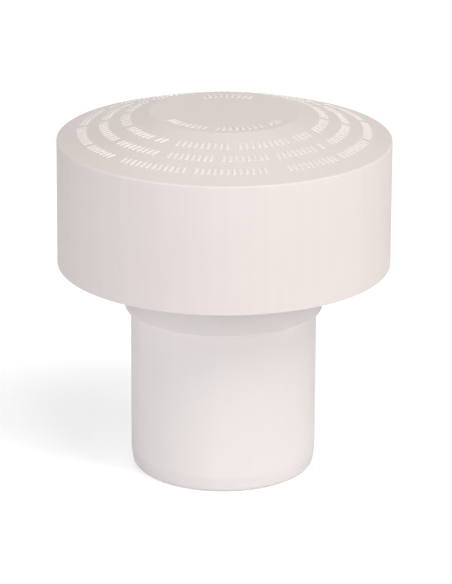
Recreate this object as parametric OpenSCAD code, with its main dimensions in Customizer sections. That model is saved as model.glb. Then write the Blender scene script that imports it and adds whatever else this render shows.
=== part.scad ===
// Air admittance valve for a drain's vent pipe: a hooded, double-seated gravity valve on a pipe spigot.
// Air enters under the hood's skirt, passes the insect screen, lifts the membrane off its two
// ring seats and falls down the spigot. With no suction the valve's own weight closes it again.
// Millimetres, +Z up along the axis, origin at the centre of the spigot's lower end.

/* [Spigot] */
// Outside diameter of the spigot, the 2 in pipe size
spigot_od = 60.3; // [48:0.1:90]
// Wall of the spigot
spigot_wall = 3.9; // [3:0.1:5]
// Length of the spigot, from its end to the stop collar
spigot_len = 54; // [30:0.5:80]
// Height of the lead-in chamfer at the spigot's end
lead_len = 4.7; // [3:0.1:12]
// Radial depth of the lead-in chamfer
lead_depth = 0.7; // [0.2:0.1:1.2]
// Rounding of the outer edge at the spigot's end
end_round = 1.8; // [0.5:0.1:2.2]
// Chamfer at the mouth of the bore
mouth_chamfer = 0.5; // [0.2:0.1:0.8]

/* [Stop collar] */
// Radial step from the spigot out to the stop collar
collar_step = 1.9; // [1:0.1:3]
// Length of the collar that shows below the cap
collar_drop = 14.9; // [8:0.1:25]
// Rounding of the collar's lower edge
collar_round = 0.3; // [0.2:0.1:0.8]

/* [Seats and air inlet] */
// Height of the seats above the cap's lower rim
seat_rise = 18; // [16:0.5:26]
// Width of the flat sealing face of each ring seat
seat_w = 1.6; // [1:0.1:2.4]
// Height of the bevel behind each seat
seat_bevel_h = 3; // [2:0.5:5]
// Radial width of the bevel behind the inner seat
inner_bevel_w = 1.5; // [1:0.1:2]
// Radial width of the bevel behind the outer seat
outer_bevel_w = 0.9; // [0.6:0.1:2]
// Depth of the throat that widens the bore up to the inner seat
throat_h = 9; // [6:0.5:12]
// Radial width of the annular air inlet
inlet_w = 10.7; // [8:0.1:16]
// Height of the outer seat ring
seat_ring_h = 11.4; // [10:0.2:14]
// Number of ribs that carry the outer seat ring
inlet_ribs = 6; // [3:1:10]
// Thickness of each inlet rib
inlet_rib_t = 2.2; // [1.5:0.1:3]
// Distance of the inlet ribs below the seats' bevels
inlet_rib_drop = 0.8; // [0.3:0.1:2]

/* [Flange and cap seal] */
// Radial width of the flange outside the outer seat ring
flange_w = 5.4; // [4.6:0.1:9]
// Distance of the flange's lower face below the seats
flange_drop = 8.9; // [7.5:0.1:9.5]
// Thickness of the flange
flange_t = 2.4; // [1.8:0.1:3]
// Height of the flange's outer rim
flange_rim_h = 5.5; // [5:0.1:7]
// Wall behind the seal groove
groove_wall = 1.8; // [1.2:0.1:2.4]
// Section diameter of the cap seal ring
seal_d = 2.4; // [1.6:0.1:2.8]
// Spare height of the seal groove
groove_spare = 0.3; // [0.1:0.1:0.6]
// Chamfer at the flange rim's two outer edges
flange_chamfer = 0.4; // [0.2:0.1:0.8]

/* [Cap] */
// Wall of the cap at its lower rim
cap_wall = 2.9; // [2:0.1:4]
// Radial draft of the cap's outside over its height
cap_draft = 0.2; // [0:0.05:0.8]
// Rise of the conical crown
crown_h = 8.4; // [5:0.1:11]
// Diameter of the flat disc on the crown
crown_disc_d = 48; // [30:1:60]
// Thickness of the crown
crown_t = 3; // [2:0.1:4]
// Rounding of the cap's upper rim
rim_round = 0.5; // [0.3:0.1:1.6]
// Rounding of the skirt's lower edge
skirt_round = 0.4; // [0.2:0.1:0.9]
// Number of stop ribs inside the cap
stop_ribs = 8; // [4:1:12]
// Thickness of each stop rib
stop_rib_t = 2; // [1.2:0.1:3]
// Radial reach of the stop ribs in from the cap's wall
stop_rib_w = 3.6; // [2:0.1:4.2]
// Number of snap barbs under the flange
barbs = 8; // [4:1:12]
// Sweep of each snap barb in degrees
barb_sweep = 14; // [8:1:24]
// Bite of each barb under the flange
barb_bite = 0.6; // [0.3:0.1:1]
// Height of each barb's ramp
barb_h = 3; // [2:0.1:4]

/* [Valve disc] */
// Travel of the valve from its seats to its stop
lift = 9; // [5:0.5:14]
// Thickness of the disc's plate
plate_t = 2; // [1.4:0.1:3]
// Reach of the plate past the outer seat
plate_over = 1; // [0.6:0.1:1.6]
// Width and height of the upstand round the plate's edge
upstand = 1.6; // [1:0.1:2.4]
// Wall of the pilot ring that drops into the throat
pilot_wall = 1.8; // [1.2:0.1:2.4]
// Depth of the pilot ring below the plate
pilot_h = 4; // [3.5:0.1:6]
// Height of the guide sleeve above the seats
sleeve_rise = 13.1; // [11:0.1:18]
// Depth of the guide sleeve below the plate
sleeve_drop = 2.4; // [1:0.1:4]
// Wall of the guide sleeve
sleeve_wall = 2.4; // [1.5:0.1:3]
// Chamfer at each mouth of the guide sleeve
sleeve_chamfer = 0.7; // [0.6:0.1:1]
// Number of spokes
spokes = 6; // [3:1:10]
// Thickness of each spoke
spoke_t = 2; // [1.2:0.1:3]

/* [Membrane] */
// Thickness of the membrane
membrane_t = 1.5; // [1:0.1:2.5]
// Reach of the membrane past the plate's edge
membrane_over = 0.6; // [0.2:0.1:1]
// Depth of the groove that grips the membrane's inner edge
membrane_grip = 0.8; // [0.5:0.1:1.2]

/* [Guide pin] */
// Diameter of the guide pin under the crown
pin_d = 6; // [4:0.5:8]
// Diameter of the boss at the root of the pin
boss_d = 13; // [11:0.5:18]
// Height of the boss
boss_h = 6.4; // [3:0.1:10]
// Length of the pin below the boss
pin_len = 20.7; // [16:0.1:22]
// Chamfer at the pin's tip
pin_chamfer = 0.6; // [0.3:0.1:1]
// Fillet at the root of the pin
pin_fillet = 0.6; // [0.2:0.1:0.7]
// Fillet between the boss and the crown
boss_fillet = 1.6; // [0.5:0.1:2.5]

/* [Insect screen] */
// Thickness of the screen
screen_t = 1.4; // [1:0.1:2]
// Width of the screen's solid rims
screen_rim = 1.2; // [0.8:0.1:2]
// Rows of openings across the screen
screen_rows = 3; // [2:1:4]
// Openings round each row
screen_slots = 40; // [12:1:48]
// Width of the bars between openings
screen_bar = 0.8; // [0.5:0.1:1.2]
// Wall of the lip that grips the outer seat ring
lip_wall = 1.2; // [0.8:0.1:2]
// Height of the lip
lip_h = 2.2; // [1:0.1:2.4]

/* [Clearances] */
// Gap between the flange and the cap's bore
fit_gap = 0.25; // [0.1:0.05:0.4]
// Gap on each side of the cap seal in its groove
seal_gap = 0.02; // [0.01:0.01:0.1]
// Gap between the membrane and its seats when shut
seat_gap = 0.02; // [0.01:0.01:0.1]
// Gap between the pilot ring's lip and the throat
pilot_gap = 0.5; // [0.3:0.1:1]
// Gap between the membrane's inner edge and its groove
grip_gap = 0.05; // [0.02:0.01:0.2]
// Radial gap between the guide pin and its sleeve
guide_gap = 0.06; // [0.02:0.01:0.1]
// Gap left above the sleeve at full lift
stop_gap = 0.3; // [0.2:0.1:1]
// Gap between the screen and the ring or collar that it fits
screen_gap = 0.1; // [0.05:0.05:0.3]

/* [Hidden] */
$fn = 96;
arc_steps = 6;
weld = 0.5;

// Radii of the body
spigot_r = spigot_od / 2;
bore_r = spigot_r - spigot_wall;
collar_r = spigot_r + collar_step;
inner_seat_r1 = collar_r - inner_bevel_w;
inner_seat_r0 = inner_seat_r1 - seat_w;
outer_seat_r0 = collar_r + inlet_w;
outer_seat_r1 = outer_seat_r0 + seat_w;
seat_ring_r = outer_seat_r1 + outer_bevel_w;
flange_r = seat_ring_r + flange_w;

// Radii of the cap and its seal
cap_in_r = flange_r + fit_gap;
cap_low_r = cap_in_r + cap_wall;
cap_top_r = cap_low_r - cap_draft;
disc_edge_r = crown_disc_d / 2;
seal_r = cap_in_r - seal_gap - seal_d / 2;
groove_r = seal_r - seal_d / 2 - seal_gap;
flange_rim_r = groove_r - groove_wall;

// Radii of the valve
plate_r = outer_seat_r1 + plate_over;
membrane_r = plate_r + membrane_over;
pilot_lip_r = inner_seat_r0 - pilot_gap;
pilot_neck_r = pilot_lip_r - membrane_grip;
pilot_in_r = pilot_neck_r - pilot_wall;
pin_r = pin_d / 2;
boss_r = boss_d / 2;
sleeve_in_r = pin_r + guide_gap;
sleeve_r = sleeve_in_r + sleeve_wall;

// Heights
collar_z = spigot_len;
skirt_z = collar_z + collar_drop;
seat_z = skirt_z + seat_rise;
seat_ring_z = seat_z - seat_ring_h;
flange_z = seat_z - flange_drop;
flange_top_z = flange_z + flange_rim_h;
membrane_z = seat_z + seat_gap;
plate_z = membrane_z + membrane_t;
plate_top_z = plate_z + plate_t;
sleeve_top_z = seat_z + sleeve_rise;
boss_z = sleeve_top_z + lift + stop_gap;
crown_in_z = boss_z + boss_h;
crown_z = crown_in_z + crown_t;
rim_z = crown_z - crown_h;

// Slope of the crown, from its rim to its flat disc
crown_slope = atan2(crown_h, cap_top_r - disc_edge_r);
crown_in_edge_r = disc_edge_r - crown_t * tan(crown_slope / 2);
crown_in_wall_z = rim_z + (cap_top_r - cap_in_r) * tan(crown_slope) - crown_t / cos(crown_slope);

// Points of an arc in a profile, from angle a0 to angle a1
function arc(r, z, radius, a0, a1) =
    [for (i = [0 : arc_steps])
        let (a = a0 + (a1 - a0) * i / arc_steps)
        [r + radius * cos(a), z + radius * sin(a)]];

// Points of the spigot's end: a rounded edge that runs into the lead-in chamfer
function spigot_end() =
    let (lean = atan2(lead_depth, lead_len))
    let (centre_r = spigot_r - lead_depth - end_round * (1 - sin(lean)) / cos(lean))
    concat(
        [[bore_r, mouth_chamfer], [bore_r + mouth_chamfer, 0]],
        arc(centre_r, end_round, end_round, -90, -lean),
        [[spigot_r, lead_len]]);

// Points of the guide pin and its boss, from the pin's tip out to the crown
function guide_pin() =
    let (tip_z = boss_z - pin_len)
    concat(
        [[0, tip_z], [pin_r - pin_chamfer, tip_z], [pin_r, tip_z + pin_chamfer]],
        arc(pin_r + pin_fillet, boss_z - pin_fillet, pin_fillet, 180, 90),
        [[boss_r, boss_z]],
        arc(boss_r + boss_fillet, crown_in_z - boss_fillet, boss_fillet, 180, 90));

// A profile of radii and heights, turned about the axis
module turned(points) {
    rotate_extrude() polygon(points);
}

// Upright plates of one profile, set evenly round the axis, with the first at half a pitch
module radial_plates(count, thickness, points) {
    for (i = [0 : count - 1])
        rotate([90, 0, 360 * (i + 0.5) / count])
            translate([0, 0, -thickness / 2])
                linear_extrude(height = thickness) polygon(points);
}

// Flat ring between two radii
module ring(r0, r1, z, height) {
    translate([0, 0, z]) difference() {
        cylinder(r = r1, h = height);
        translate([0, 0, -weld]) cylinder(r = r0, h = height + 2 * weld);
    }
}

// Spigot, collar and riser in one tube, with the inner seat on its top
module tube() {
    turned(concat(
        spigot_end(),
        [[spigot_r, collar_z]],
        arc(collar_r - collar_round, collar_z + collar_round, collar_round, -90, 0),
        [[collar_r, seat_z - seat_bevel_h],
         [inner_seat_r1, seat_z],
         [inner_seat_r0, seat_z],
         [inner_seat_r0, seat_z - throat_h / 2],
         [bore_r, seat_z - throat_h]]));
}

// Outer seat ring with its flange and the rim that holds the cap seal
module outer_ring() {
    groove_h = seal_d + groove_spare;
    groove_z = flange_z + (flange_rim_h - groove_h) / 2;
    turned([
        [outer_seat_r0, seat_ring_z],
        [seat_ring_r, seat_ring_z],
        [seat_ring_r, flange_z],
        [flange_r - flange_chamfer, flange_z],
        [flange_r, flange_z + flange_chamfer],
        [flange_r, groove_z],
        [groove_r, groove_z],
        [groove_r, groove_z + groove_h],
        [flange_r, groove_z + groove_h],
        [flange_r, flange_top_z - flange_chamfer],
        [flange_r - flange_chamfer, flange_top_z],
        [flange_rim_r, flange_top_z],
        [flange_rim_r, flange_z + flange_t],
        [seat_ring_r, flange_z + flange_t],
        [seat_ring_r, seat_z - seat_bevel_h],
        [outer_seat_r1, seat_z],
        [outer_seat_r0, seat_z]]);
}

// Body: the tube and the outer seat ring, joined by ribs across the air inlet
module body() color([0.90, 0.88, 0.87]) {
    rib_r0 = collar_r - weld;
    rib_r1 = outer_seat_r0 + weld;
    rib_top_z = seat_z - seat_bevel_h - inlet_rib_drop;
    union() {
        tube();
        outer_ring();
        radial_plates(inlet_ribs, inlet_rib_t,
            [[rib_r0, seat_ring_z], [rib_r1, seat_ring_z], [rib_r1, rib_top_z], [rib_r0, rib_top_z]]);
    }
}

// Insect screen: a grille ring under the air inlet, with a lip that grips the outer seat ring
module insect_screen() color([0.62, 0.63, 0.62]) {
    in_r = collar_r + screen_gap;
    lip_r0 = seat_ring_r + screen_gap;
    lip_r1 = lip_r0 + lip_wall;
    mesh_r0 = in_r + screen_rim;
    mesh_r1 = outer_seat_r0 - screen_gap;
    row_w = (mesh_r1 - mesh_r0 - (screen_rows - 1) * screen_bar) / screen_rows;
    base_z = seat_ring_z - screen_t;
    union() {
        ring(in_r, mesh_r0, base_z, screen_t);
        for (row = [1 : screen_rows - 1])
            ring(mesh_r0 + row * row_w + (row - 1) * screen_bar, mesh_r0 + row * (row_w + screen_bar),
                base_z, screen_t);
        ring(mesh_r1, lip_r1, base_z, screen_t);
        ring(lip_r0, lip_r1, base_z, screen_t + lip_h);
        radial_plates(screen_slots, screen_bar,
            [[mesh_r0 - weld, base_z], [mesh_r1 + weld, base_z],
             [mesh_r1 + weld, seat_ring_z], [mesh_r0 - weld, seat_ring_z]]);
    }
}

// Cap seal: the rubber ring in the flange's groove
module cap_seal() color([0.10, 0.10, 0.11]) {
    translate([0, 0, flange_z + flange_rim_h / 2])
        rotate_extrude() translate([seal_r, 0]) circle(d = seal_d);
}

// Shell of the cap: a drafted skirt, and a conical crown with a flat disc and the guide pin under it
module cap_shell() {
    rim_centre_z = rim_z - rim_round * (1 - sin(crown_slope)) / cos(crown_slope);
    turned(concat(
        arc(cap_in_r + skirt_round, skirt_z + skirt_round, skirt_round, 180, 270),
        arc(cap_low_r - skirt_round, skirt_z + skirt_round, skirt_round, 270, 360),
        arc(cap_top_r - rim_round, rim_centre_z, rim_round, 0, 90 - crown_slope),
        [[disc_edge_r, crown_z],
         [0, crown_z]],
        guide_pin(),
        [[crown_in_edge_r, crown_in_z],
         [cap_in_r, crown_in_wall_z]]));
}

// One snap barb under the flange
module barb() {
    rotate_extrude(angle = barb_sweep)
        polygon([
            [cap_in_r + weld, flange_z],
            [flange_r - barb_bite, flange_z],
            [cap_in_r, flange_z - barb_h],
            [cap_in_r + weld, flange_z - barb_h]]);
}

// Cap: the hood, with stop ribs that set the flange's place and snap barbs that hold it there
module cap() color([0.92, 0.885, 0.875]) {
    rib_r0 = cap_in_r - stop_rib_w;
    rib_r1 = cap_in_r + weld;
    rib_top_z = crown_in_wall_z + weld;
    union() {
        cap_shell();
        radial_plates(stop_ribs, stop_rib_t,
            [[rib_r0, flange_top_z], [rib_r1, flange_top_z], [rib_r1, rib_top_z], [rib_r0, rib_top_z]]);
        for (i = [0 : barbs - 1])
            rotate([0, 0, 360 * (i + 1) / barbs - barb_sweep / 2]) barb();
    }
}

// Valve disc: the plate over the seats, its pilot ring, and spokes to the guide sleeve
module valve_disc() color([0.86, 0.86, 0.85]) {
    pilot_z = plate_z - pilot_h;
    lip_z = membrane_z - grip_gap;
    lip_low_z = (pilot_z + lip_z) / 2;
    spoke_z = plate_z - membrane_grip;
    sleeve_z = plate_z - sleeve_drop;
    shoulder_z = (plate_top_z + sleeve_top_z) / 2;
    union() {
        turned([
            [pilot_in_r, pilot_z],
            [pilot_neck_r, pilot_z],
            [pilot_lip_r, lip_low_z],
            [pilot_lip_r, lip_z],
            [pilot_neck_r, lip_z],
            [pilot_neck_r, plate_z],
            [plate_r, plate_z],
            [plate_r, plate_top_z + upstand],
            [plate_r - upstand, plate_top_z + upstand],
            [plate_r - upstand, plate_top_z],
            [pilot_in_r, plate_top_z]]);
        turned([
            [sleeve_in_r + sleeve_chamfer, sleeve_z],
            [sleeve_r, sleeve_z],
            [sleeve_r, sleeve_top_z],
            [sleeve_in_r + sleeve_chamfer, sleeve_top_z],
            [sleeve_in_r, sleeve_top_z - sleeve_chamfer],
            [sleeve_in_r, sleeve_z + sleeve_chamfer]]);
        radial_plates(spokes, spoke_t,
            [[sleeve_r - weld, spoke_z],
             [pilot_in_r + weld, spoke_z],
             [pilot_in_r + weld, plate_z + weld],
             [plate_r - upstand + weld, plate_z + weld],
             [plate_r - upstand + weld, plate_top_z + upstand],
             [pilot_in_r, plate_top_z + upstand],
             [sleeve_r - weld, shoulder_z]]);
    }
}

// Membrane: the rubber ring that closes both seats
module membrane() color([0.12, 0.12, 0.13]) {
    ring(pilot_neck_r + grip_gap, membrane_r, membrane_z, membrane_t);
}

body();
insect_screen();
cap_seal();
cap();
valve_disc();
membrane();
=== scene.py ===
"""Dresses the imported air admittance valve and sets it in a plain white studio.

The hood, the pipe body, the inlet screen and the ring valve keep their solid shapes and get
procedural finishes. Geometry Nodes add the arcs of raised bars on the crown and the fine gauze
of the inlet screen.
"""

import logging
import math
from dataclasses import dataclass, field
from enum import Enum
from typing import Any, Sequence

import bmesh
import bpy
from mathutils import Matrix, Vector


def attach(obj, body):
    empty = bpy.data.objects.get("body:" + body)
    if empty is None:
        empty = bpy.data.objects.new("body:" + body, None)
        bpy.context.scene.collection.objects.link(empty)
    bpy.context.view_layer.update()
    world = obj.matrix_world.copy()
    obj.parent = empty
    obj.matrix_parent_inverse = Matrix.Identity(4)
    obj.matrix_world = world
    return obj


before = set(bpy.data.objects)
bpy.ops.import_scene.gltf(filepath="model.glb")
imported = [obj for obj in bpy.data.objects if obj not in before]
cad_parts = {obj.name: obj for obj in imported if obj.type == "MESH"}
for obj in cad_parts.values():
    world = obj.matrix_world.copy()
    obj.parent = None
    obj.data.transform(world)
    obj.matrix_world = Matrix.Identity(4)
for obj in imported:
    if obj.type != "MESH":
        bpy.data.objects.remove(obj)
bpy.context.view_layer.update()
LOG = logging.getLogger("air_valve")
MM = 0.001
NOISE_MEAN = 0.5
Tint = tuple[float, float, float]
Colour = tuple[float, float, float, float]
WHITE: Colour = (1.0, 1.0, 1.0, 1.0)


class Part(str, Enum):
    """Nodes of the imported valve."""

    CAP = "cap"
    BODY = "body"
    SCREEN = "insect_screen"
    SEAL = "cap_seal"
    DISC = "valve_disc"
    MEMBRANE = "membrane"


class Rider(str, Enum):
    """Bodies that pieces move with."""

    HOUSING = "housing"
    VALVE = "valve"


class Slot(str, Enum):
    """Names of material slots of the record."""

    CAP = "cap_pvc"
    SCREEN = "screen_plastic"


def screen_colour(red: int, green: int, blue: int) -> Colour:
    """Turns an 8-bit screen colour into the linear colour that a shader takes.

    Args:
        red: Red level, 0 to 255.
        green: Green level, 0 to 255.
        blue: Blue level, 0 to 255.

    Returns:
        The linear colour with full alpha.
    """
    levels = []
    for level in (red, green, blue):
        share = level / 255.0
        levels.append(share / 12.92 if share <= 0.04045 else ((share + 0.055) / 1.055) ** 2.4)
    return levels[0], levels[1], levels[2], 1.0


class Sock:
    """An output socket whose arithmetic adds Math nodes to its tree."""

    def __init__(self, tree: bpy.types.NodeTree, socket: bpy.types.NodeSocket | None) -> None:
        """Keeps the tree and the socket."""
        self.tree = tree
        self.socket = socket

    def _math(self, operation: str, left: "Sock | float", right: "Sock | float") -> "Sock":
        """Adds one Math node.

        Args:
            operation: The Math node's operation.
            left: First operand.
            right: Second operand.

        Returns:
            The node's result.
        """
        node = self.tree.nodes.new("ShaderNodeMath")
        node.operation = operation
        for target, value in zip(node.inputs, (left, right)):
            if isinstance(value, Sock):
                self.tree.links.new(value.socket, target)
            else:
                target.default_value = float(value)
        return Sock(self.tree, node.outputs[0])

    def __add__(self, other: "Sock | float") -> "Sock":
        """Sum."""
        return self._math("ADD", self, other)

    def __radd__(self, other: float) -> "Sock":
        """Sum with a number on the left."""
        return self._math("ADD", other, self)

    def __sub__(self, other: "Sock | float") -> "Sock":
        """Difference."""
        return self._math("SUBTRACT", self, other)

    def __rsub__(self, other: float) -> "Sock":
        """Difference from a number on the left."""
        return self._math("SUBTRACT", other, self)

    def __mul__(self, other: "Sock | float") -> "Sock":
        """Product."""
        return self._math("MULTIPLY", self, other)

    def __rmul__(self, other: float) -> "Sock":
        """Product with a number on the left."""
        return self._math("MULTIPLY", other, self)

    def __truediv__(self, other: "Sock | float") -> "Sock":
        """Quotient."""
        return self._math("DIVIDE", self, other)

    def __rtruediv__(self, other: float) -> "Sock":
        """Quotient of a number on the left."""
        return self._math("DIVIDE", other, self)

    def __mod__(self, other: "Sock | float") -> "Sock":
        """Remainder."""
        return self._math("MODULO", self, other)

    def __rmod__(self, other: float) -> "Sock":
        """Remainder of a number on the left."""
        return self._math("MODULO", other, self)

    def __gt__(self, other: "Sock | float") -> "Sock":
        """One where this is the greater, and nought elsewhere."""
        return self._math("GREATER_THAN", self, other)

    def __lt__(self, other: "Sock | float") -> "Sock":
        """One where this is the less, and nought elsewhere."""
        return self._math("LESS_THAN", self, other)

    def cosine(self) -> "Sock":
        """Cosine of an angle in radians."""
        return self._math("COSINE", self, 0.0)

    def sine(self) -> "Sock":
        """Sine of an angle in radians."""
        return self._math("SINE", self, 0.0)

    def size(self) -> "Sock":
        """The value without its sign."""
        return self._math("ABSOLUTE", self, 0.0)

    def peak(self, other: "Sock | float") -> "Sock":
        """The greater of two values."""
        return self._math("MAXIMUM", self, other)

    def output(self, name: str) -> "Sock":
        """Another output of the same node."""
        return Sock(self.tree, self.socket.node.outputs[name])


class Graph:
    """A node tree that is written as Python calls."""

    def __init__(self, tree: bpy.types.NodeTree) -> None:
        """Keeps the tree that nodes are added to."""
        self.tree = tree

    def node(
        self,
        kind: str,
        settings: dict[str, Any] | None = None,
        inputs: dict[str | int, Any] | None = None,
        output: str | int = 0,
    ) -> Sock:
        """Adds a node.

        Args:
            kind: The node's type.
            settings: The node's own properties, set first.
            inputs: Values or links of its sockets, by name or number.
            output: The output to return.

        Returns:
            The chosen output.
        """
        made = self.tree.nodes.new(kind)
        for key, value in (settings or {}).items():
            setattr(made, key, value)
        for key, value in (inputs or {}).items():
            target = made.inputs[key]
            if isinstance(value, Sock):
                self.tree.links.new(value.socket, target)
            else:
                target.default_value = value
        return Sock(self.tree, made.outputs[output] if len(made.outputs) else None)

    def blend(self, share: Sock, low: Colour | Sock, high: Colour | Sock) -> Sock:
        """Mixes two colours.

        Args:
            share: Share of the second colour.
            low: First colour.
            high: Second colour.

        Returns:
            The mixed colour.
        """
        return self.node(
            "ShaderNodeMix",
            settings={"data_type": "RGBA"},
            inputs={0: share, 6: low, 7: high},
            output=2,
        )


@dataclass(frozen=True)
class Pattern:
    """A noise pattern: cells to the metre, octaves of finer noise and their weight."""

    scale: float
    detail: float = 2.0
    roughness: float = 0.5


class Shader(Graph):
    """The node tree of one material."""

    def __init__(self, name: str) -> None:
        """Starts an empty material of that name."""
        self.material = bpy.data.materials.new(name)
        self.material.use_nodes = True
        super().__init__(self.material.node_tree)
        self.tree.nodes.clear()

    def place(self) -> Sock:
        """Position on the piece, in metres."""
        return self.node("ShaderNodeTexCoord", output="Object")

    def noise(self, place: Sock, pattern: Pattern) -> Sock:
        """Adds a noise pattern.

        Args:
            place: Where on the piece it is read.
            pattern: Its scale and detail.

        Returns:
            The pattern's value, about a half on average.
        """
        return self.node(
            "ShaderNodeTexNoise",
            inputs={
                "Vector": place,
                "Scale": pattern.scale,
                "Detail": pattern.detail,
                "Roughness": pattern.roughness,
            },
            output="Fac",
        )

    def stretched(self, place: Sock, scale: tuple[float, float, float]) -> Sock:
        """Scales the coordinates by axis."""
        return self.node("ShaderNodeMapping", inputs={"Vector": place, "Scale": scale})

    def surface(
        self,
        base: Sock,
        roughness: Sock,
        height: Sock,
        relief: float,
        constants: dict[str, Any],
    ) -> None:
        """Ends the tree in a principled surface.

        Args:
            base: Colour over the surface.
            roughness: Roughness over the surface.
            height: Relief pattern.
            relief: Depth of the relief in metres.
            constants: Values set on the surface's own sockets.
        """
        normal = self.node(
            "ShaderNodeBump", inputs={"Height": height, "Strength": 1.0, "Distance": relief}
        )
        inputs = {"Base Color": base, "Roughness": roughness, "Normal": normal, **constants}
        closure = self.node("ShaderNodeBsdfPrincipled", inputs=inputs)
        self.node("ShaderNodeOutputMaterial", inputs={"Surface": closure})


@dataclass(frozen=True)
class MouldedPlastic:
    """A matte moulded plastic with faint clouding, drawn streaks, a fine grain and painted
    highlights.

    At each edge height on the piece, in metres, a painted highlight makes its colour a little
    lighter and its roughness a little lower. Below a given height it takes the cloud colour, a
    painted shade that darkens the lower part.
    """

    name: str
    colour: Colour
    cloud_and_shade: Colour
    roughness: float
    grain_depth: float = 0.000012
    streak: float = 0.45
    specular: float = 0.05
    refraction: float = 1.53
    # Painted highlight bands: their heights, width, strength, gloss and colour.
    highlight_heights: tuple[float, ...] = ()
    edge_width: float = 0.4 * MM
    highlight_strength: float = 0.3
    edge_polish: float = 0.12
    highlight_colour: Colour = screen_colour(253, 248, 246)
    # Painted shade: the height below which the colour darkens, and the width of its blend.
    painted_shade_height: float = 0.0
    painted_shade_blend: float = 0.8 * MM
    cloud_pattern: Pattern = Pattern(24.0, 3.0, 0.55)
    cloud_weight: float = 1.5
    cloud_share: float = 0.4
    grain_pattern: Pattern = Pattern(1500.0, 2.0, 0.6)
    grain_weight: float = 0.5
    drawn_pattern: Pattern = Pattern(1.0)
    drawn_scale: tuple[float, float, float] = (420.0, 420.0, 16.0)
    speck_pattern: Pattern = Pattern(620.0, 1.0, 0.4)
    speck_start: float = 0.71
    speck_weight: float = 0.25
    peel_pattern: Pattern = Pattern(190.0, 2.0, 0.45)
    peel_relief: float = 0.55
    grain_relief: float = 0.45
    drawn_roughness: float = 0.03
    cloud_roughness: float = 0.12
    grain_roughness: float = 0.08

    def material(self) -> bpy.types.Material:
        """Builds the finish.

        Returns:
            The material.
        """
        shader = Shader(self.name)
        place = shader.place()
        clouds = shader.noise(place, self.cloud_pattern) - NOISE_MEAN
        grain = shader.noise(place, self.grain_pattern)
        peel = shader.noise(place, self.peel_pattern)
        streaks = shader.noise(shader.stretched(place, self.drawn_scale), self.drawn_pattern)
        drawn = streaks - NOISE_MEAN
        speckle = shader.noise(place, self.speck_pattern) > self.speck_start
        fine = grain - NOISE_MEAN
        share = clouds * self.cloud_weight + drawn * self.streak + fine * self.grain_weight
        base = shader.blend(share + self.cloud_share, self.colour, self.cloud_and_shade)
        base = shader.blend(speckle * self.speck_weight, base, self.cloud_and_shade)
        roughness = self.roughness + drawn * self.drawn_roughness
        roughness = roughness + clouds * self.cloud_roughness + fine * self.grain_roughness
        level = shader.node("ShaderNodeSeparateXYZ", inputs={0: place}, output="Z")
        # Painted shade: below the given height the colour turns to the cloud colour, darker
        # towards the bottom.
        if self.painted_shade_height:
            painted_shade = (self.painted_shade_height - level) / self.painted_shade_blend
            base = shader.blend(painted_shade, base, self.cloud_and_shade)
        # Painted highlight: at each edge height the colour is lighter and the roughness a little
        # lower.
        for edge in self.highlight_heights:
            near = (1.0 - (level - edge).size() / self.edge_width).peak(0.0)
            painted_highlight = near * self.highlight_strength
            base = shader.blend(painted_highlight, base, self.highlight_colour)
            roughness = roughness - painted_highlight * self.edge_polish
        height = grain * self.grain_relief + peel * self.peel_relief
        constants = {"Specular IOR Level": self.specular, "IOR": self.refraction}
        shader.surface(base, roughness, height, self.grain_depth, constants)
        return shader.material


@dataclass(frozen=True)
class SealRubber:
    """A matte black seal rubber with a grey bloom."""

    name: str
    colour: Colour
    bloom: Colour
    roughness: float = 0.68
    grain_depth: float = 0.00002
    specular: float = 0.35
    refraction: float = 1.52
    bloom_pattern: Pattern = Pattern(85.0, 4.0, 0.6)
    bloom_start: float = 0.42
    bloom_weight: float = 1.6
    grain_pattern: Pattern = Pattern(2400.0)
    grain_weight: float = 0.4
    bloom_roughness: float = 0.25
    grain_roughness: float = 0.1

    def material(self) -> bpy.types.Material:
        """Builds the finish.

        Returns:
            The material.
        """
        shader = Shader(self.name)
        place = shader.place()
        dusting = shader.noise(place, self.bloom_pattern)
        grain = shader.noise(place, self.grain_pattern)
        fine = grain - NOISE_MEAN
        share = (dusting - self.bloom_start) * self.bloom_weight + fine * self.grain_weight
        base = shader.blend(share, self.colour, self.bloom)
        roughness = self.roughness + (dusting - NOISE_MEAN) * self.bloom_roughness
        roughness = roughness + fine * self.grain_roughness
        constants = {"Specular IOR Level": self.specular, "IOR": self.refraction}
        shader.surface(base, roughness, grain, self.grain_depth, constants)
        return shader.material


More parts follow.
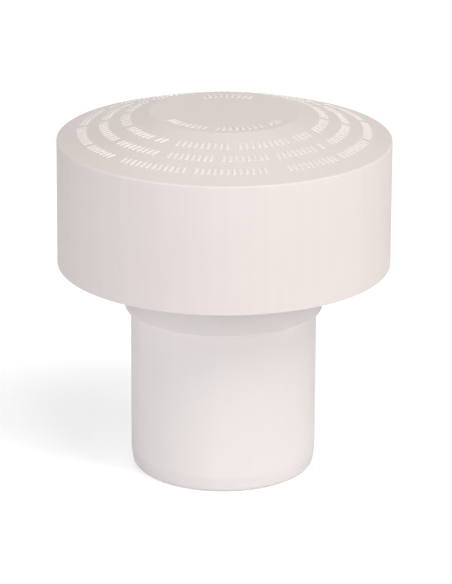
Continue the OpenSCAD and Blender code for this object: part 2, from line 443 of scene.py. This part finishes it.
class GeoTree(Graph):
    """A Geometry Nodes tree with named inputs."""

    def __init__(self, name: str) -> None:
        """Starts an empty tree with one geometry output."""
        super().__init__(bpy.data.node_groups.new(name, "GeometryNodeTree"))
        self.tree.interface.new_socket(
            "Geometry", in_out="OUTPUT", socket_type="NodeSocketGeometry"
        )
        self.entry = self.tree.nodes.new("NodeGroupInput")
        self.keys: dict[str, str] = {}

    def value(self, name: str, kind: str = "Float") -> Sock:
        """Adds a named input.

        Args:
            name: The input's name.
            kind: The socket's kind, such as Float, Int or Material.

        Returns:
            The input, for use in the tree.
        """
        made = self.tree.interface.new_socket(
            name, in_out="INPUT", socket_type="NodeSocket" + kind
        )
        self.keys[name] = made.identifier
        return Sock(self.tree, self.entry.outputs[name])

    def triple(self, x: Sock | float, y: Sock | float, z: Sock | float) -> Sock:
        """A vector of three values."""
        return self.node("ShaderNodeCombineXYZ", inputs={0: x, 1: y, 2: z})

    def points(self, count: Sock, position: Sock) -> Sock:
        """Sets out points.

        Args:
            count: Number of points.
            position: Place of each point.

        Returns:
            The points.
        """
        loose = self.node("GeometryNodePoints", inputs={"Count": count})
        return self.node(
            "GeometryNodeSetPosition", inputs={"Geometry": loose, "Position": position}
        )

    def turned(self, x: Sock | float, y: Sock | float, z: Sock | float) -> Sock:
        """A rotation from three angles in radians."""
        return self.node("FunctionNodeEulerToRotation", inputs={0: self.triple(x, y, z)})

    def joined(self, pieces: Sequence[Sock]) -> Sock:
        """Joins geometries.

        Args:
            pieces: What to join.

        Returns:
            The joined geometry.
        """
        made = self.node("GeometryNodeJoinGeometry")
        for piece in pieces:
            self.tree.links.new(piece.socket, made.socket.node.inputs[0])
        return made

    def end(self, geometry: Sock, material: Sock) -> None:
        """Ends the tree in realized, dressed geometry.

        Args:
            geometry: What the tree has made.
            material: The finish of all of it.
        """
        real = self.node("GeometryNodeRealizeInstances", inputs={"Geometry": geometry})
        dressed = self.node(
            "GeometryNodeSetMaterial", inputs={"Geometry": real, "Material": material}
        )
        self.node("NodeGroupOutput", inputs={"Geometry": dressed})

    def grow(self, values: dict[str, Any]) -> bpy.types.Mesh:
        """Runs the tree once and keeps the result as a plain mesh.

        Args:
            values: The value of each named input.

        Returns:
            The mesh.
        """
        host = bpy.data.objects.new("grown", bpy.data.meshes.new("grown"))
        bpy.context.scene.collection.objects.link(host)
        modifier = host.modifiers.new("tree", "NODES")
        modifier.node_group = self.tree
        for name, value in values.items():
            modifier[self.keys[name]] = value
        graph = bpy.context.evaluated_depsgraph_get()
        mesh = bpy.data.meshes.new_from_object(host.evaluated_get(graph))
        host.modifiers.remove(modifier)
        bpy.data.objects.remove(host)
        return mesh


def settle(name: str, meshes: Sequence[bpy.types.Mesh], rider: Rider) -> None:
    """Joins meshes into one piece at the origin and sets it on its body.

    Args:
        name: Name of the piece.
        meshes: Meshes of one finish, in the valve's frame.
        rider: The body that it moves with.
    """
    joined = bmesh.new()
    for mesh in meshes:
        joined.from_mesh(mesh)
    bmesh.ops.recalc_face_normals(joined, faces=joined.faces)
    data = bpy.data.meshes.new(name)
    joined.to_mesh(data)
    joined.free()
    for material in meshes[0].materials:
        data.materials.append(material)
    piece = bpy.data.objects.new(name, data)
    bpy.context.scene.collection.objects.link(piece)
    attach(piece, rider.value)
    LOG.info("%s: %d faces on %s", name, len(data.polygons), rider.value)


def dress(part: Part, material: bpy.types.Material) -> None:
    """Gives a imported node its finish.

    Args:
        part: The node.
        material: Its finish.
    """
    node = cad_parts[part.value]
    node.material_slots[0].material = material
    LOG.info("%s: dressed in %s", part.value, material.name)


@dataclass(frozen=True)
class BarArc:
    """An arc of raised bars on the crown, in even groups.

    Angles are in degrees, from the right hand side and counter-clockwise as seen from above.
    """

    radius: float
    start: float
    sweep: float
    group: int
    flat: bool = False


@dataclass
class Hood:
    """The cap: its shell, and the arcs of raised bars on its crown.

    A bar is a cube of three layers, foot, waist and top. The waist and the top are shorter and
    narrower than the foot by a share of its length and width, the waist stands at a share of the
    bar's height, and the top drops at its sides and ends.
    """

    disc_radius: float = 24.0 * MM
    disc_height: float = 118.7 * MM
    rim_radius: float = 53.6 * MM
    rim_height: float = 110.3 * MM
    rim_edge: float = 110.1 * MM
    bar_length: float = 3.1 * MM
    bar_width: float = 0.95 * MM
    bar_height: float = 0.28 * MM
    bar_pitch: float = 1.95 * MM
    bar_sink: float = 0.12 * MM
    waist_height: float = 0.6
    waist_shorter: float = 0.03
    waist_narrower: float = 0.08
    top_shorter: float = 0.14
    top_narrower: float = 0.42
    side_drop: float = 0.2
    end_drop: float = 0.12
    arcs: tuple[BarArc, ...] = (
        BarArc(45.6 * MM, -133.0, 64.0, 13),
        BarArc(45.6 * MM, -64.0, 286.0, 11),
        BarArc(38.5 * MM, -116.0, 80.0, 9),
        BarArc(38.5 * MM, -31.0, 270.0, 12),
        BarArc(31.6 * MM, -117.0, 86.0, 10),
        BarArc(31.6 * MM, -25.0, 262.0, 8),
        BarArc(19.6 * MM, -149.0, 122.0, 9, True),
        BarArc(18.6 * MM, 64.0, 54.0, 10, True),
    )
    shell: MouldedPlastic = MouldedPlastic(
        "warm_white_pvc",
        screen_colour(238, 230, 227),
        screen_colour(234, 225, 222),
        roughness=0.55,
        streak=1.0,
        # A painted highlight line along the rim, with a glossier finish.
        highlight_heights=(rim_edge,),
    )
    # Painted highlight: the bars are a lighter copy of the shell's plastic, and also glossier.
    polish_and_highlight: MouldedPlastic = MouldedPlastic(
        "polished_white_pvc_with_painted_highlight",
        screen_colour(248, 243, 240),
        screen_colour(245, 239, 236),
        roughness=0.2,
        grain_depth=0.000004,
    )

    @property
    def slope(self) -> float:
        """Fall of the crown from its disc to its rim, in radians."""
        fall = self.disc_height - self.rim_height
        return math.atan2(fall, self.rim_radius - self.disc_radius)

    def surface_height(self, radius: float) -> float:
        """Height of the crown's surface.

        Args:
            radius: Distance from the axis.

        Returns:
            The height of the surface there.
        """
        return self.disc_height - max(0.0, radius - self.disc_radius) * math.tan(self.slope)

    def _bar(self, geo: GeoTree, length: Sock, width: Sock, rise: Sock, sink: Sock) -> Sock:
        """Shapes one bar with a rounded top and a foot below the surface.

        Args:
            geo: The tree to add to.
            length: Length of the foot.
            width: Width of the foot.
            rise: Height of the bar's ridge.
            sink: Depth of the foot below the surface.

        Returns:
            The bar, along X and centred on the surface.
        """
        cube = geo.node(
            "GeometryNodeMeshCube",
            inputs={"Size": (1.0, 1.0, 1.0), "Vertices X": 4, "Vertices Y": 3, "Vertices Z": 3},
            output="Mesh",
        )
        position = geo.node("GeometryNodeInputPosition")
        along = geo.node("ShaderNodeSeparateXYZ", inputs={0: position}, output="X")
        across, level = along.output("Y"), along.output("Z")
        # The unit cube's layers lie at -0.5, 0 and 0.5, and its columns at 0.167 and 0.5.
        top = level > 0.25
        waist = (level > -0.25) - top
        foot = 1.0 - top - waist
        side = across * across * 4.0
        end = (along * along) > 0.2
        shorter = top * self.top_shorter + waist * self.waist_shorter
        narrower = top * self.top_narrower + waist * self.waist_narrower
        crest = top * (1.0 - side * self.side_drop - end * self.end_drop)
        reach = along * length * (1.0 - shorter)
        spread = across * width * (1.0 - narrower)
        tall = rise * (crest + waist * self.waist_height) - foot * sink
        shaped = geo.node(
            "GeometryNodeSetPosition",
            inputs={"Geometry": cube, "Position": geo.triple(reach, spread, tall)},
        )
        return geo.node(
            "GeometryNodeSetShadeSmooth", inputs={"Geometry": shaped, "Shade Smooth": False}
        )

    def bar_tree(self) -> GeoTree:
        """Builds the tree that sets bars along an arc.

        Returns:
            The tree.
        """
        geo = GeoTree("raised_bars")
        count = geo.value("Count", "Int")
        radius = geo.value("Radius")
        height = geo.value("Height")
        start = geo.value("Start")
        step = geo.value("Step")
        tilt = geo.value("Tilt")
        length = geo.value("Bar Length")
        width = geo.value("Bar Width")
        rise = geo.value("Bar Height")
        sink = geo.value("Bar Sink")
        group = geo.value("Group", "Int")
        material = geo.value("Material", "Material")

        index = geo.node("GeometryNodeInputIndex")
        angle = start + step * index
        position = geo.triple(angle.cosine() * radius, angle.sine() * radius, height)
        # The last place of each group stays empty.
        kept = geo.node(
            "GeometryNodeDeleteGeometry",
            settings={"domain": "POINT"},
            inputs={
                "Geometry": geo.points(count, position),
                "Selection": (index % group) > (group - 1.5),
            },
        )
        bars = geo.node(
            "GeometryNodeInstanceOnPoints",
            inputs={
                "Points": kept,
                "Instance": self._bar(geo, length, width, rise, sink),
                "Rotation": geo.turned(0.0, tilt, angle),
            },
        )
        geo.end(bars, material)
        return geo

    def build(self) -> None:
        """Dresses the cap and raises its bars."""
        dress(Part.CAP, self.shell.material())
        tree = self.bar_tree()
        finish = self.polish_and_highlight.material()
        meshes = []
        for arc in self.arcs:
            count = round(math.radians(arc.sweep) * arc.radius / self.bar_pitch)
            values = {
                "Count": count,
                "Radius": arc.radius,
                "Height": self.surface_height(arc.radius),
                "Start": math.radians(arc.start),
                "Step": math.radians(arc.sweep) / count,
                "Tilt": 0.0 if arc.flat else self.slope,
                "Bar Length": self.bar_length,
                "Bar Width": self.bar_width,
                "Bar Height": self.bar_height,
                "Bar Sink": self.bar_sink,
                "Group": arc.group,
                "Material": finish,
            }
            meshes.append(tree.grow(values))
        settle("crown_bars", meshes, Rider.HOUSING)


@dataclass
class PipeBody:
    """The spigot, collar, riser and seats, and the ring that seals them to the cap."""

    collar_edge: float = 54.15 * MM
    lead_in: float = 5.9 * MM
    pvc: MouldedPlastic = MouldedPlastic(
        "white_pvc",
        screen_colour(246, 240, 238),
        screen_colour(241, 235, 233),
        roughness=0.55,
        # A painted highlight line along the collar's lower edge, with a glossier finish.
        highlight_heights=(collar_edge,),
        highlight_strength=1.0,
        # A painted shade darkens the lead-in.
        painted_shade_height=lead_in,
    )
    rubber: SealRubber = SealRubber(
        "seal_rubber", screen_colour(30, 30, 32), screen_colour(58, 58, 60)
    )

    def build(self) -> None:
        """Dresses the body and its seal."""
        dress(Part.BODY, self.pvc.material())
        dress(Part.SEAL, self.rubber.material())


@dataclass
class InletScreen:
    """The insect screen: its grille ring, and the fine gauze moulded into it."""

    inner: float = 32.6 * MM
    outer: float = 43.0 * MM
    height: float = 74.8 * MM
    wire: float = 0.26 * MM
    spokes: int = 208
    hoops: int = 9
    hoop_sides: int = 160
    wire_sides: int = 5
    plastic: MouldedPlastic = MouldedPlastic(
        "grey_screen_plastic",
        screen_colour(168, 170, 168),
        screen_colour(154, 156, 155),
        roughness=0.52,
        grain_depth=0.00001,
    )

    @staticmethod
    def _rods(
        geo: GeoTree, count: Sock, inner: Sock, outer: Sock, height: Sock, wire: Sock
    ) -> Sock:
        """Lays the gauze's straight wires, from its inner edge to its outer.

        Args:
            geo: The tree to add to.
            count: Number of wires.
            inner: Radius of the inner edge.
            outer: Radius of the outer edge.
            height: Height of the gauze.
            wire: Thickness of a wire.

        Returns:
            The wires.
        """
        turn = geo.node("GeometryNodeInputIndex") * (2.0 * math.pi) / count
        middle = (inner + outer) * 0.5
        position = geo.triple(turn.cosine() * middle, turn.sine() * middle, height)
        rod = geo.node(
            "GeometryNodeMeshCube",
            inputs={"Size": geo.triple(outer - inner, wire, wire)},
            output="Mesh",
        )
        return geo.node(
            "GeometryNodeInstanceOnPoints",
            inputs={
                "Points": geo.points(count, position),
                "Instance": rod,
                "Rotation": geo.turned(0.0, 0.0, turn),
            },
        )

    def _rings(
        self, geo: GeoTree, count: Sock, inner: Sock, outer: Sock, height: Sock, wire: Sock
    ) -> Sock:
        """Lays the gauze's round wires, evenly from its inner edge to its outer.

        Args:
            geo: The tree to add to.
            count: Number of wires.
            inner: Radius of the inner edge.
            outer: Radius of the outer edge.
            height: Height of the gauze.
            wire: Thickness of a wire.

        Returns:
            The wires.
        """
        index = geo.node("GeometryNodeInputIndex")
        reach = inner + (outer - inner) * (index + 0.5) / count
        circle = geo.node(
            "GeometryNodeCurvePrimitiveCircle",
            inputs={"Resolution": self.hoop_sides, "Radius": 1.0},
        )
        loops = geo.node(
            "GeometryNodeInstanceOnPoints",
            inputs={
                "Points": geo.points(count, geo.triple(0.0, 0.0, height)),
                "Instance": circle,
                "Scale": geo.triple(reach, reach, 1.0),
            },
        )
        section = geo.node(
            "GeometryNodeCurvePrimitiveCircle",
            inputs={"Resolution": self.wire_sides, "Radius": wire * 0.5},
        )
        return geo.node(
            "GeometryNodeCurveToMesh",
            inputs={
                "Curve": geo.node("GeometryNodeRealizeInstances", inputs={"Geometry": loops}),
                "Profile Curve": section,
            },
        )

    def gauze_tree(self) -> GeoTree:
        """Builds the tree that lays the gauze's straight and round wires.

        Returns:
            The tree.
        """
        geo = GeoTree("screen_gauze")
        spokes = geo.value("Spokes", "Int")
        hoops = geo.value("Hoops", "Int")
        inner = geo.value("Inner Radius")
        outer = geo.value("Outer Radius")
        height = geo.value("Height")
        wire = geo.value("Wire")
        material = geo.value("Material", "Material")
        rods = self._rods(geo, spokes, inner, outer, height, wire)
        rings = self._rings(geo, hoops, inner, outer, height, wire)
        geo.end(geo.joined((rods, rings)), material)
        return geo

    def build(self) -> None:
        """Dresses the grille and lays its gauze."""
        finish = self.plastic.material()
        dress(Part.SCREEN, finish)
        values = {
            "Spokes": self.spokes,
            "Hoops": self.hoops,
            "Inner Radius": self.inner,
            "Outer Radius": self.outer,
            "Height": self.height,
            "Wire": self.wire,
            "Material": finish,
        }
        settle("screen_gauze", (self.gauze_tree().grow(values),), Rider.HOUSING)


@dataclass
class RingValve:
    """The lifting valve: its spoked disc and the membrane under it."""

    natural: MouldedPlastic = MouldedPlastic(
        "natural_white_plastic",
        screen_colour(224, 222, 214),
        screen_colour(214, 212, 203),
        roughness=0.48,
    )
    rubber: SealRubber = SealRubber(
        "membrane_rubber", screen_colour(34, 34, 36), screen_colour(64, 64, 66)
    )

    def build(self) -> None:
        """Dresses the disc and its membrane."""
        dress(Part.DISC, self.natural.material())
        dress(Part.MEMBRANE, self.rubber.material())


@dataclass(frozen=True)
class SoftLight:
    """A square area lamp that faces a point on the valve, and may be left out of reflections.

    The azimuth is in degrees from the front towards the right, and the elevation in degrees.
    """

    name: str
    azimuth: float
    elevation: float
    power: float
    tint: Tint = (1.0, 1.0, 1.0)
    distance: float = 1.6
    side: float = 0.9
    mirrored: bool = True

    def build(self, target: Vector) -> None:
        """Hangs the lamp.

        Args:
            target: The point that it faces.
        """
        lamp = bpy.data.lights.new(self.name, "AREA")
        lamp.shape = "SQUARE"
        lamp.size = self.side
        lamp.energy = self.power
        lamp.color = self.tint
        holder = bpy.data.objects.new(self.name, lamp)
        holder.visible_glossy = self.mirrored
        turn, lift = math.radians(self.azimuth), math.radians(self.elevation)
        level = math.cos(lift)
        away = Vector((math.sin(turn) * level, -math.cos(turn) * level, math.sin(lift)))
        facing = away.to_track_quat("Z", "Y").to_matrix().to_4x4()
        holder.matrix_world = Matrix.Translation(target + away * self.distance) @ facing
        bpy.context.scene.collection.objects.link(holder)


@dataclass
class Studio:
    """Floor, light and camera.

    The floor's own glow, which is only seen and lights nothing, grows with the distance from the
    valve, so that the far floor shows white and the near floor keeps a soft shadow.
    """

    floor_side: float = 12.0
    floor_colour: Colour = (0.90, 0.90, 0.90, 1.0)
    floor_hole: float = 27.8 * MM
    near_glow: float = 0.46
    far_glow: float = 0.90
    glow_start: float = 0.05
    glow_end: float = 2.0
    ambient: Colour = (1.03, 0.99, 1.03, 1.0)
    ambient_level: float = 0.207
    target: Vector = field(default_factory=lambda: Vector((0.0, 0.0, 0.075)))
    lamps: tuple[SoftLight, ...] = (
        SoftLight("left_light", -60.0, 25.0, 6.15, (0.98, 1.0, 1.03)),
        SoftLight("front_light", 0.0, 8.0, 4.6, (0.94, 0.98, 1.06)),
        SoftLight("right_light", 60.0, 30.0, 8.2),
        SoftLight("upper_light", 30.0, 60.0, 9.4, (1.03, 1.0, 0.91)),
        SoftLight("back_light", 180.0, 6.0, 8.3, side=0.35, mirrored=False),
    )
    camera_place: tuple[float, float, float] = (0.0, -0.94342, 0.38657)
    camera_pitch: float = 0.3351
    camera_roll: float = 0.00496
    focal_pixels: float = 3079.43
    offset_pixels: float = 2.215
    frame_height: float = 584.0
    sensor: float = 36.0
    clip_start: float = 0.05
    clip_end: float = 50.0

    @staticmethod
    def _seen(graph: Graph) -> Sock:
        """One on rays that see the backdrop: straight, in a reflection or through a clear piece.

        Args:
            graph: The tree to add to.

        Returns:
            The mask.
        """
        path = graph.node("ShaderNodeLightPath", output="Is Camera Ray")
        return path.peak(path.output("Is Glossy Ray")).peak(path.output("Is Transmission Ray"))

    def floor_material(self) -> bpy.types.Material:
        """Builds the finish of a pale floor that is clear to a camera below it.

        A round hole under the bore lets light up into it.

        Returns:
            The material.
        """
        shader = Shader("pale_floor")
        matte = shader.node("ShaderNodeBsdfDiffuse", inputs={"Color": self.floor_colour})
        distance = shader.node(
            "ShaderNodeVectorMath",
            settings={"operation": "LENGTH"},
            inputs={0: shader.place()},
            output="Value",
        )
        glow = shader.node(
            "ShaderNodeMapRange",
            inputs={
                "Value": distance,
                "From Min": self.glow_start,
                "From Max": self.glow_end,
                "To Min": self.near_glow,
                "To Max": self.far_glow,
            },
        )
        shine = shader.node(
            "ShaderNodeEmission", inputs={"Color": self._seen(shader) * glow, "Strength": 1.0}
        )
        both = shader.node("ShaderNodeAddShader", inputs={0: matte, 1: shine})
        below = shader.node("ShaderNodeNewGeometry", output="Backfacing")
        straight = shader.node("ShaderNodeLightPath", output="Is Camera Ray")
        opened = (below * straight).peak(distance < self.floor_hole)
        clear = shader.node("ShaderNodeBsdfTransparent")
        sided = shader.node("ShaderNodeMixShader", inputs={0: opened, 1: both, 2: clear})
        shader.node("ShaderNodeOutputMaterial", inputs={"Surface": sided})
        return shader.material

    def build_floor(self) -> None:
        """Lays the floor, which shows white and keeps the shadow."""
        half = self.floor_side / 2.0
        corners = [(-half, -half, 0.0), (half, -half, 0.0), (half, half, 0.0), (-half, half, 0.0)]
        mesh = bpy.data.meshes.new("floor")
        mesh.from_pydata(corners, [], [(0, 1, 2, 3)])
        mesh.materials.append(self.floor_material())
        floor = bpy.data.objects.new("floor", mesh)
        bpy.context.scene.collection.objects.link(floor)

    def build_world(self) -> None:
        """Sets soft light all round, and white where it is seen."""
        world = bpy.data.worlds.new("studio")
        world.use_nodes = True
        bpy.context.scene.world = world
        graph = Graph(world.node_tree)
        graph.tree.nodes.clear()
        seen = self._seen(graph)
        colour = graph.blend(seen, self.ambient, WHITE)
        strength = seen + (1.0 - seen) * self.ambient_level
        back = graph.node("ShaderNodeBackground", inputs={"Color": colour, "Strength": strength})
        graph.node("ShaderNodeOutputWorld", inputs={"Surface": back})

    def build_camera(self) -> None:
        """Sets the camera where the picture was taken from."""
        data = bpy.data.cameras.new("camera")
        data.sensor_width = self.sensor
        data.lens = self.sensor * self.focal_pixels / self.frame_height
        data.shift_x = self.offset_pixels / self.frame_height
        data.clip_start = self.clip_start
        data.clip_end = self.clip_end
        camera = bpy.data.objects.new("camera", data)
        pitch = Matrix.Rotation(math.pi / 2.0 - self.camera_pitch, 4, "X")
        roll = Matrix.Rotation(self.camera_roll, 4, "Z")
        camera.matrix_world = Matrix.Translation(self.camera_place) @ pitch @ roll
        bpy.context.scene.collection.objects.link(camera)
        bpy.context.scene.camera = camera

    def build(self) -> None:
        """Builds the whole studio."""
        self.build_floor()
        self.build_world()
        for lamp in self.lamps:
            lamp.build(self.target)
        self.build_camera()
        bpy.context.scene.view_settings.view_transform = "Standard"
        LOG.info("studio: %d lamp(s)", len(self.lamps))


def main() -> None:
    """Builds the valve's pieces in order, then the studio."""
    logging.basicConfig(level=logging.INFO, format="%(name)s %(message)s")
    Hood().build()
    PipeBody().build()
    InletScreen().build()
    RingValve().build()
    Studio().build()


if __name__ == "__main__":
    main()
